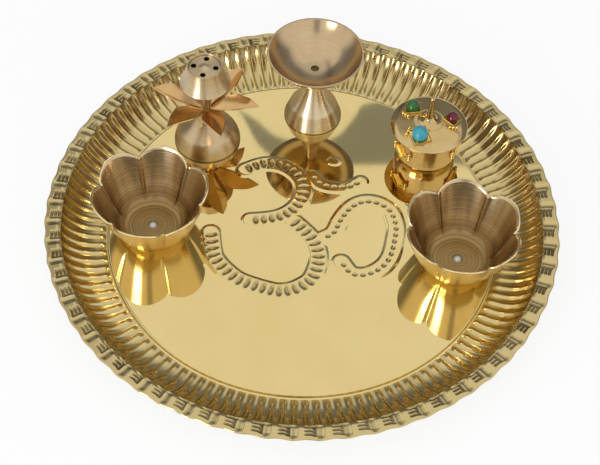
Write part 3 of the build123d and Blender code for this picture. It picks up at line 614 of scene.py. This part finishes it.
# Flower bowls: six petals with a pinched crease between them and a scalloped rim. The walls outside and
# inside and the depth of the crease are given as (height, radius or depth)
BOWL_OUT = [(0, 16.0), (3.2, 19.9), (14.4, 26.0), (32, 32.2)]
BOWL_IN = [(1.2, 13.8), (1.75, 16.0), (3.2, 18.0), (6.5, 20.4), (15.1, 24.8), (32, 31.0)]
BOWL_CREASE = [(0, 0), (3.2, 0.55), (14.4, 2.1), (32, 2.6)]
BOWL_FLATS = {"floor": 1.2, "foot": 0}
BOWL_TOP = 32
BOWL_REACH = 32.2
BOWL_STEPS = 312
SCALLOP_RADIUS = 28.4
LIP_ROUND = 0.35
LIP_REACH = 0.6


def flower_bowl(place, turn):
    """The mesh of a bowl, with its turning rings and its inside marked."""
    plan = [("floor", radius) for radius in (0, 3, 7, 11, 13)]
    plan += [("in", (s / 30) ** 1.6) for s in range(31)] + [("lip", 1)]
    plan += [("out", 1 - s / 26) for s in range(27)] + [("foot", radius) for radius in (15.2, 8, 0)]
    points, rows, along, inside = [], [], [], []
    for kind, level in plan:
        count = 1 if kind in BOWL_FLATS and level == 0 else BOWL_STEPS
        rows.append(range(len(points), len(points) + count))
        inside += [1 if kind in ("floor", "in") else 0] * count
        for k in range(count):
            petal = (360 * k / BOWL_STEPS) % 60 - 30
            crease = 0.7 * (petal / 30) ** 2 + 0.3 * math.exp(-((30 - abs(petal)) / 2.6) ** 4)
            sideways = BOWL_REACH * math.sin(math.radians(petal))
            top = BOWL_TOP - (SCALLOP_RADIUS - math.sqrt(SCALLOP_RADIUS ** 2 - sideways ** 2))
            if kind in BOWL_FLATS:
                radius, height, mark = level, BOWL_FLATS[kind], level
            else:
                foot = BOWL_FLATS["floor"] if kind == "in" else 0
                height = top if kind == "lip" else foot + (top - LIP_ROUND - foot) * level
                radius = smooth_through(BOWL_OUT if kind == "out" else BOWL_IN, height)
                radius += (LIP_REACH if kind == "lip" else 0) - smooth_through(BOWL_CREASE, height) * crease
                mark = 14 + height * 1.15
            x, y = polar(radius, turn + 360 * k / BOWL_STEPS)
            points.append((place[0] + x, place[1] + y, FLOOR_TOP + height))
            along.append(mark)
    return ring_mesh(points, rows, range(len(rows)), False, ring=along, inside=inside)


def rivet_head(place, seat, radius, height):
    """A rivet's domed head and shank down to its clenched tail."""
    dome = arc((0.001, seat + height), (radius * 0.72, seat + height * 0.52), (radius, seat), 10)
    tail = [(1.5, seat), (1.5, -1.0), (2.7, -1.0), (2.2, -2.0), (0, -2.0)]
    return turned([(0, seat + height)] + dome + [(radius, seat)] + tail, place, 48)


for side, turn in (("left", 49), ("right", 58)):
    place = polar(*PLACES[side])
    bowl = flower_bowl(place, turn)
    show(f"flower_bowl_{side}", bowl, bowl_brass, "thali", "bowl_brass", f"bowl_{side}", crease=55)
    rivet = rivet_head(place, BOWL_FLATS["floor"], 2.8, 1.5)
    show(f"bowl_rivet_head_{side}", rivet, aluminium, "thali", "rivet_aluminium", f"bowl_rivet_{side}")

# Oil lamp: a dish with a flat lip on a pedestal with a shoulder and a skirt
BORE = 1.55
lamp = polar(*PLACES["lamp"])
neck, shoulder = (3.9, 37.2), (13.8, 9.6)
pedestal = [(BORE, 37.2), neck] + arc(neck, (6.87, 21.2), shoulder)
pedestal += rounded([(13.7, 9.9), (13.8, 9.6, 0.5), (16.8, 1.2, 0.5), (16.8, 0, 0.3), (15.2, 0), (12.2, 8.0),
                     (BORE, 8.0)])
show("lamp_foot", turned(pedestal, lamp), pale_brass, "thali", "turned_brass", "lamp_pedestal")
dish = [(BORE, 38.4), (5, 38.4)] + arc((5, 38.4), (18.6, 43.1), (26.2, 51.6))
dish += rounded([(26.0, 51.3), (26.2, 51.6, 0.2), (27.4, 51.6, 0.3), (27.3, 51.2)])
dish += arc((27.4, 51.6), (19.4, 42.2), (5, 37.2)) + [(5, 37.2), (BORE, 37.2)]
show("lamp_bowl", turned(dish, lamp, 192), dish_brass, "thali", "turned_brass", "lamp_dish")
show("lamp_rivet_head", rivet_head(lamp, 38.4, 2.4, 0.7), tie_brass, "thali", "tie_brass", "lamp_rivet")

# Incense holder: bell base, folded lotus, and a head with a drilled plug
incense = polar(*PLACES["incense"])
neck, shoulder, lip = (5.0, 25.0), (15.2, 10.0), (19.0, 1.2)
bell = [(BORE, 25), neck] + arc(neck, (8.88, 16.0), shoulder)
bell += [shoulder] + arc(shoulder, (17.66, 5.84), lip, 8)
bell += rounded([(18.98, 1.4), (19, 1.2, 0.2), (19, 0, 0.4), (17.4, 0), (13.6, 8.4), (BORE, 8.4)])
show("incense_bell", turned(bell, incense), incense_brass, "thali", "turned_brass", "incense_base")
throat, brim = (3.9, 42.5), (14.2, 47.5)
head = [(0, 25.8), (2.6, 25.8), throat] + arc(throat, (8.52, 46.08), brim)
head += rounded([(14.1, 47.4), (14.3, 47.6, 0.1), (14.1, 47.9)]) + arc(brim, (11.45, 53.65), (9.9, 59.8))
head += rounded([(9.92, 59.6), (9.9, 59.8, 0.3), (8.9, 59.8, 0.3), (8.9, 49.8), (0, 49.8)])
show("incense_urn", turned(head, incense), incense_brass, "thali", "turned_brass", "incense_head")

HOLE_RADIUS = 1.6 * MM
cutters = bmesh.new()
for hole in range(4):
    x, y = polar(6.2, -5 + 90 * hole)
    place = Matrix.Translation(Vector((incense[0] + x, incense[1] + y, FLOOR_TOP + 55)) * MM)
    bmesh.ops.create_cone(cutters, cap_ends=True, segments=40, radius1=HOLE_RADIUS, radius2=HOLE_RADIUS,
                          depth=14 * MM, matrix=place)
drill_mesh = bpy.data.meshes.new("stick_drill")
cutters.to_mesh(drill_mesh)
cutters.free()
drill = placed("stick_drill", drill_mesh)
plug = turned([(0, 59.8), (0.5, 59.68), (2.8, 58.8), (4, 58.8), (8.1, 58.8), (8.75, 58.7), (8.85, 58.5),
               (8.85, 49.8), (0, 49.8)], incense, 128)
plug = baked(plug, "BOOLEAN", operation="DIFFERENCE", solver="EXACT", object=drill)
bpy.data.objects.remove(drill)
show("stick_plug", plug, incense_brass, "thali", "turned_brass", "incense_plug", crease=30)

# One folded petal, as shares of its length, half width, fold and rise, then the ring of them round the hub
PETAL_LINE = (
    (0.1, 0.3, 0.2, 0), (0.21, 0.56, 0.5, 0.05), (0.32, 0.8, 0.8, 0.12), (0.44, 0.92, 0.92, 0.23),
    (0.55, 1, 1, 0.36), (0.68, 0.8, 0.8, 0.55), (0.8, 0.6, 0.6, 0.74), (0.9, 0.34, 0.34, 0.87),
    (0.97, 0.13, 0.13, 0.96), (1, 0.03, 0.03, 1),
)
PETAL_LENGTH = 30.5
PETAL_HALF = 6.5
PETAL_FOLD = 6.2
PETAL_RISE = 9
PETAL_SEAT = FLOOR_TOP + 25.4
COLUMNS = 9
points, faces = [], []
for length, width, fold, rise in PETAL_LINE:
    for column in range(COLUMNS):
        side = column / (COLUMNS - 1) * 2 - 1
        height = PETAL_SEAT + PETAL_RISE * rise + PETAL_FOLD * fold * abs(side)
        points.append((PETAL_LENGTH * length, PETAL_HALF * width * side, height))
for i in range(len(PETAL_LINE) - 1):
    for a in range(i * COLUMNS, (i + 1) * COLUMNS - 1):
        faces.append((a, a + COLUMNS, a + COLUMNS + 1, a + 1))
petal = marked_mesh("petal", points, faces=faces)
tree, given = sized_tree("petal_ring", Petals="Int", First_turn="Float")
hubs = add(tree, "GeometryNodeMeshLine", {"Count": given["Petals"], "Offset": (0, 0, 0)}, mode="OFFSET")
facing = add(tree, "GeometryNodeInputIndex")
for operation, other in (("DIVIDE", given["Petals"]), ("MULTIPLY", FULL_TURN), ("ADD", given["First turn"])):
    facing = add(tree, MATH, {0: facing, 1: other}, operation=operation)
turn = add(tree, "ShaderNodeCombineXYZ", {"Z": facing})
petals = add(tree, "GeometryNodeInstanceOnPoints", {"Points": hubs, "Instance": given["Geometry"],
                                                    "Rotation": turn})
close_tree(tree, petals, lotus_brass)
lotus = baked(petal, "NODES", {"Petals": 6, "First turn": math.radians(-70)}, node_group=tree)
lotus.transform(Matrix.Translation(Vector((*incense, 0)) * MM))
lotus = baked(lotus, "SOLIDIFY", thickness=0.6 * MM, offset=0)
show("lotus_petals", lotus, lotus_brass, "thali", "lotus_brass", "incense_lotus", crease=25)
hub = turned(rounded([(0, 25), (6, 25, 0.2), (6, 25.8, 0.2), (0, 25.8)]), incense, 64)
show("lotus_hub", hub, lotus_brass, "thali", "lotus_brass", "incense_lotus")

# Vermilion box: pot, lid with a spire, and gilt settings with stones
POT_RADIUS = 17.6
box = polar(*PLACES["box"])
pot = [(0, 0), (14.2, 0)] + arc((14.4, 0.1), (16.7, 2.6), (POT_RADIUS, 5.9), 10)
pot += rounded([(POT_RADIUS, 6.2), (POT_RADIUS, 23.4, 0.3), (16.2, 23.4, 0.3), (16.2, 5.9)])
pot += arc((16.2, 5.9), (15.2, 3.2), (13.0, 1.4), 8) + [(0, 1.4)]
show("box_cup", turned(pot, box), pot_brass, "thali", "turned_brass", "box_pot")
brow, foot = (8.5, 27.5), (1.9, 34.0)
lid = [(0, 46.3)] + arc((0.01, 46.3), (1.4, 44.9), (1.16, 44.1), 10)
lid += [(1.16, 44.1), (1.35, 41.5), (1.6, 38.1), foot] + arc(brow, (3.55, 29.45), foot, 26)[::-1]
lid += [brow, (9.0, 27.39), (17.5, 25.6)] + arc((17.5, 25.6), (20.0, 24.95), (21.75, 24.0), 10)
lid += rounded([(21.75, 24.0), (21.8, 23.9), (21.8, 23.4, 0.3), (15.9, 23.4), (15.9, 19.4), (14.5, 19.4),
                (14.5, 23.4), (7.1, 26.1), (0, 26.1)])
show("box_lid_cone", turned(lid, box, 192), lid_brass, "lid", "turned_brass", "box_lid", crease=35)

tree, given = sized_tree("bead_row", Bead_radius="Float")
ball = add(tree, "GeometryNodeMeshUVSphere", {"Segments": 14, "Rings": 9, "Radius": given["Bead radius"]})
row = add(tree, "GeometryNodeInstanceOnPoints", {"Points": given["Geometry"], "Instance": ball})
close_tree(tree, row, gilt)
bead_row = tree
BEAD_RADIUS = 1.1 * MM
BEAD_STEP = 1.98
# The stamping's raised border, as (inset from its corner, height)
BORDER = ((0, 1.1), (0.25, 1.4), (0.75, 1.4), (1.0, 1.1), (1.15, 0.6))


def mount_stamping(seat, stone_radius, sink, bead_ends, name, body, node):
    """Shows a stamped diamond with a raised border, sunk into its carrier, and the beads at its ends."""
    corner = math.sqrt(2) * (stone_radius + 0.8)
    shell = bmesh.new()
    rings = []
    for inset, height in ((0, -sink), *BORDER):
        ring = [Vector((*polar(corner - inset, 90 * k), height)) * MM for k in range(4)]
        rings.append([shell.verts.new(point) for point in ring])
    for low, high in zip(rings, rings[1:]):
        for k in range(4):
            shell.faces.new((low[k], low[(k + 1) % 4], high[(k + 1) % 4], high[k]))
    shell.faces.new(rings[0][::-1])
    shell.faces.new(rings[-1])
    diamond = bpy.data.meshes.new("diamond")
    shell.to_mesh(diamond)
    shell.free()
    ends = [(BEAD_STEP * k, end * corner, 0.4) for end in bead_ends for k in (-1, 0, 1)]
    beads = marked_mesh("bead_places", ends)
    beads = baked(beads, "NODES", {"Bead radius": BEAD_RADIUS}, node_group=bead_row)
    for label, mesh in ((name, diamond), (name + "_beads", beads)):
        mesh.transform(seat)
        show(label, mesh, gilt, body, "gilt", node, crease=30)


def seat_frame(reach, angle, height, out, up):
    """The frame of a setting on the box: x out along its carrier, z away from it."""
    out, up = Vector(out).normalized(), Vector(up).normalized()
    x, y = polar(reach, angle)
    return axes_frame(out, up.cross(out), up, Vector((box[0] + x, box[1] + y, FLOOR_TOP + height)) * MM)


# The stones' distance from the lid's axis and their bed in the stamping, and the fall of the lid's cone
STONE_REACH = 12.6
STONE_BED = 0.6
CONE_FALL = 2.8
CONE_RUN = 13.3
slope = math.atan2(CONE_FALL, CONE_RUN)
stone_level = brow[1] - CONE_FALL * (STONE_REACH - brow[0]) / CONE_RUN
# Each stone's colour, radius, direction, beaded end and glass
STONES = (("turquoise", 4.5, -116, -1, turquoise_glass), ("green", 3.6, 136, 1, green_glass),
          ("red", 3.3, 8, -1, red_glass))
for colour, radius, angle, end, look in STONES:
    out = (*polar(math.cos(slope), angle), -math.sin(slope))
    up = (*polar(math.sin(slope), angle), math.cos(slope))
    seat = seat_frame(STONE_REACH, angle, stone_level, out, up)
    mount_stamping(seat, radius, 0.4, [end], f"{colour}_diamond", "lid", f"setting_{colour}")
    # A cabochon bulges from 30 degrees under its widest ring to its top
    turns = [math.radians(-30 + 120 * k / 22) for k in range(22)]
    bulge = [(radius * math.cos(t), STONE_BED + radius * (0.5 + math.sin(t))) for t in turns]
    outline = [(0, STONE_BED), (0.8 * radius, STONE_BED)] + bulge + [(0, STONE_BED + 1.5 * radius)]
    stone = turned(outline, (0, 0), 72, 0)
    stone.transform(seat)
    show(f"{colour}_cabochon", stone, look, "lid", f"{colour}_glass", f"stone_{colour}", crease=50)
ORNAMENT_HEIGHT = 13
for side, angle in (("left", -143), ("right", -23), ("back", 97)):
    seat = seat_frame(POT_RADIUS, angle, ORNAMENT_HEIGHT, (0, 0, -1), (*polar(1, angle), 0))
    mount_stamping(seat, 3.6, 1.0, [1, -1], f"pot_diamond_{side}", "thali", f"pot_ornament_{side}")

# The rod and the box's rivet are CAD solids that show only from below
for node, look in (("incense_rod", tie_brass), ("box_rivet", aluminium)):
    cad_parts[node].data.materials.clear()
    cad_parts[node].data.materials.append(look)

# Studio: white paper that looks evenly lit to the camera and in reflections
paper, tree, shader, spot = new_look("white_paper")
fibre = add(tree, NOISE, {"Vector": spot, "Scale": 900, "Detail": 2})
sheet = add(tree, MIX, {0: fibre, 6: linear("#F4F4F3"), 7: linear("#F8F8F7")}, data_type="RGBA")
fill(shader, {"Base Color": sheet, "Roughness": 0.9, "Specular IOR Level": 0.1})
ray = add(tree, "ShaderNodeLightPath").outputs
seen = ray["Is Camera Ray"]
for kind in ("Is Glossy Ray", "Is Transmission Ray"):
    seen = add(tree, MATH, {0: seen, 1: ray[kind]}, operation="MAXIMUM")
seen = add(tree, MATH, {0: seen, 1: 0.85}, operation="MULTIPLY")
white = add(tree, "ShaderNodeEmission", {"Color": linear("#FFFFFF"), "Strength": 1})
lit = add(tree, "ShaderNodeMixShader", {0: seen, 1: shader, 2: white})
fill(tree.nodes["Material Output"], {"Surface": lit})
floor_mesh = bpy.data.meshes.new("paper_floor")
floor_mesh.from_pydata([(-4, -4, 0), (4, -4, 0), (4, 4, 0), (-4, 4, 0)], [], [(0, 1, 2, 3)])
floor_mesh.materials.append(paper)
floor = placed("paper_floor", floor_mesh)

# The room that the brass mirrors is white in front and overhead. Behind the tray it is grey, with two wings
# whose upper and lower edges follow two curves
EDGE = 0.0005
world = bpy.data.worlds.new("studio")
world.use_nodes = True
scene.world = world
tree = world.node_tree
sky = add(tree, "ShaderNodeSeparateXYZ", {0: add(tree, "ShaderNodeTexCoord").outputs["Generated"]}).outputs
aside = add(tree, MATH, {0: sky["X"], 1: sky["Y"]}, operation="DIVIDE")
aside_share = add(tree, RANGE, {0: aside, 1: -0.15, 2: 0.15})
edges = []
for bends in (((0, 0.2), (0.23, 0.45), (0.38, 0.764), (0.5, 0.8), (0.7, 0.78), (1, 0.7)),
              ((0, 0.419), (0.16, 0.419), (0.29, 0.52), (0.42, 0.656), (0.577, 0.651), (0.67, 0.5),
               (0.7, 0.419), (1, 0.419))):
    curve = add(tree, "ShaderNodeFloatCurve", {"Value": aside_share})
    line = curve.mapping.curves[0].points
    for bend in bends[1:-1]:
        line.new(*bend)
    line[0].location = bends[0]
    line[-1].location = bends[-1]
    curve.mapping.update()
    edges.append(add(tree, MATH, {0: curve, 1: 0.08, 2: 0.7}, operation="MULTIPLY_ADD"))
over_upper = add(tree, MATH, {0: sky["Z"], 1: edges[0]}, operation="SUBTRACT")
overhead = add(tree, RANGE, {0: over_upper, 1: -EDGE, 2: EDGE})
under_lower = add(tree, MATH, {0: edges[1], 1: sky["Z"]}, operation="SUBTRACT")
card_top = add(tree, RANGE, {0: under_lower, 1: -EDGE, 2: EDGE})
card_foot = add(tree, RANGE, {0: sky["Z"], 1: 0.66, 2: 0.7})
card = add(tree, MATH, {0: card_top, 1: card_foot}, operation="MULTIPLY")
in_front = add(tree, RANGE, {0: sky["Y"], 1: 0.35, 2: -0.1}, interpolation_type="SMOOTHSTEP")
open_share = in_front
for white_form in (overhead, card):
    open_share = add(tree, MATH, {0: open_share, 1: white_form}, operation="MAXIMUM")
# A dark upright stand in front, under the camera, and a shaded wall at the left that the left rim mirrors
off_middle = add(tree, MATH, {0: sky["X"]}, operation="ABSOLUTE")
stand = add(tree, RANGE, {0: off_middle, 1: 0.16, 2: 0.06, 4: 0.55}, interpolation_type="SMOOTHSTEP")
stand_top = add(tree, RANGE, {0: sky["Z"], 1: 0.8, 2: 0.7})
for limit in (stand_top, in_front):
    stand = add(tree, MATH, {0: stand, 1: limit}, operation="MULTIPLY")
left_wall = add(tree, RANGE, {0: sky["X"], 1: -0.15, 2: -0.165, 4: 0.7})
left_end = add(tree, RANGE, {0: sky["X"], 1: -0.3, 2: -0.27})
left_behind = add(tree, RANGE, {0: sky["Y"], 1: 0.4, 2: 0.5})
for limit in (left_end, left_behind):
    left_wall = add(tree, MATH, {0: left_wall, 1: limit}, operation="MULTIPLY")
shaded = add(tree, MATH, {0: stand, 1: left_wall}, operation="MAXIMUM")
behind = add(tree, MIX, {0: sky["Z"], 6: linear("#6E6E6C"), 7: linear("#A2A8B4")}, data_type="RGBA")
walls = add(tree, MIX, {0: open_share, 6: behind, 7: linear("#FFFFFF")}, data_type="RGBA")
room = add(tree, MIX, {0: shaded, 6: walls, 7: linear("#54525A")}, data_type="RGBA")
fill(tree.nodes["Background"], {"Color": room})

# A soft window light, low at the front left
window_light = bpy.data.lights.new("window", "AREA")
window_light.energy = 8
window_light.size = 0.42
window = placed("window", window_light)
window.location = (-0.74, -1.03, 0.3)
window.rotation_euler = (Vector((0, 0, 0.02)) - window.location).to_track_quat("-Z", "Y").to_euler()

# The camera, in front of the tray and turned slightly, as fitted to the photograph
elevation, roll, distance = math.radians(52.5), math.radians(2.62), 0.76017
back = Vector((0, -math.cos(elevation), math.sin(elevation)))
right = Vector((1, 0, 0))
up = Vector((0, math.sin(elevation), math.cos(elevation)))
across = right * math.cos(roll) + up * math.sin(roll)
above = up * math.cos(roll) - right * math.sin(roll)
camera_data = bpy.data.cameras.new("camera")
camera_data.lens = 82.33
camera_data.sensor_width = 36
camera_data.shift_x = -0.00383
camera_data.shift_y = -0.00638
camera = placed("camera", camera_data)
camera.matrix_world = axes_frame(across, above, back, Vector((0, 0, FLOOR_TOP * MM)) + back * distance)
scene.camera = camera
scene.view_settings.view_transform = "Standard"
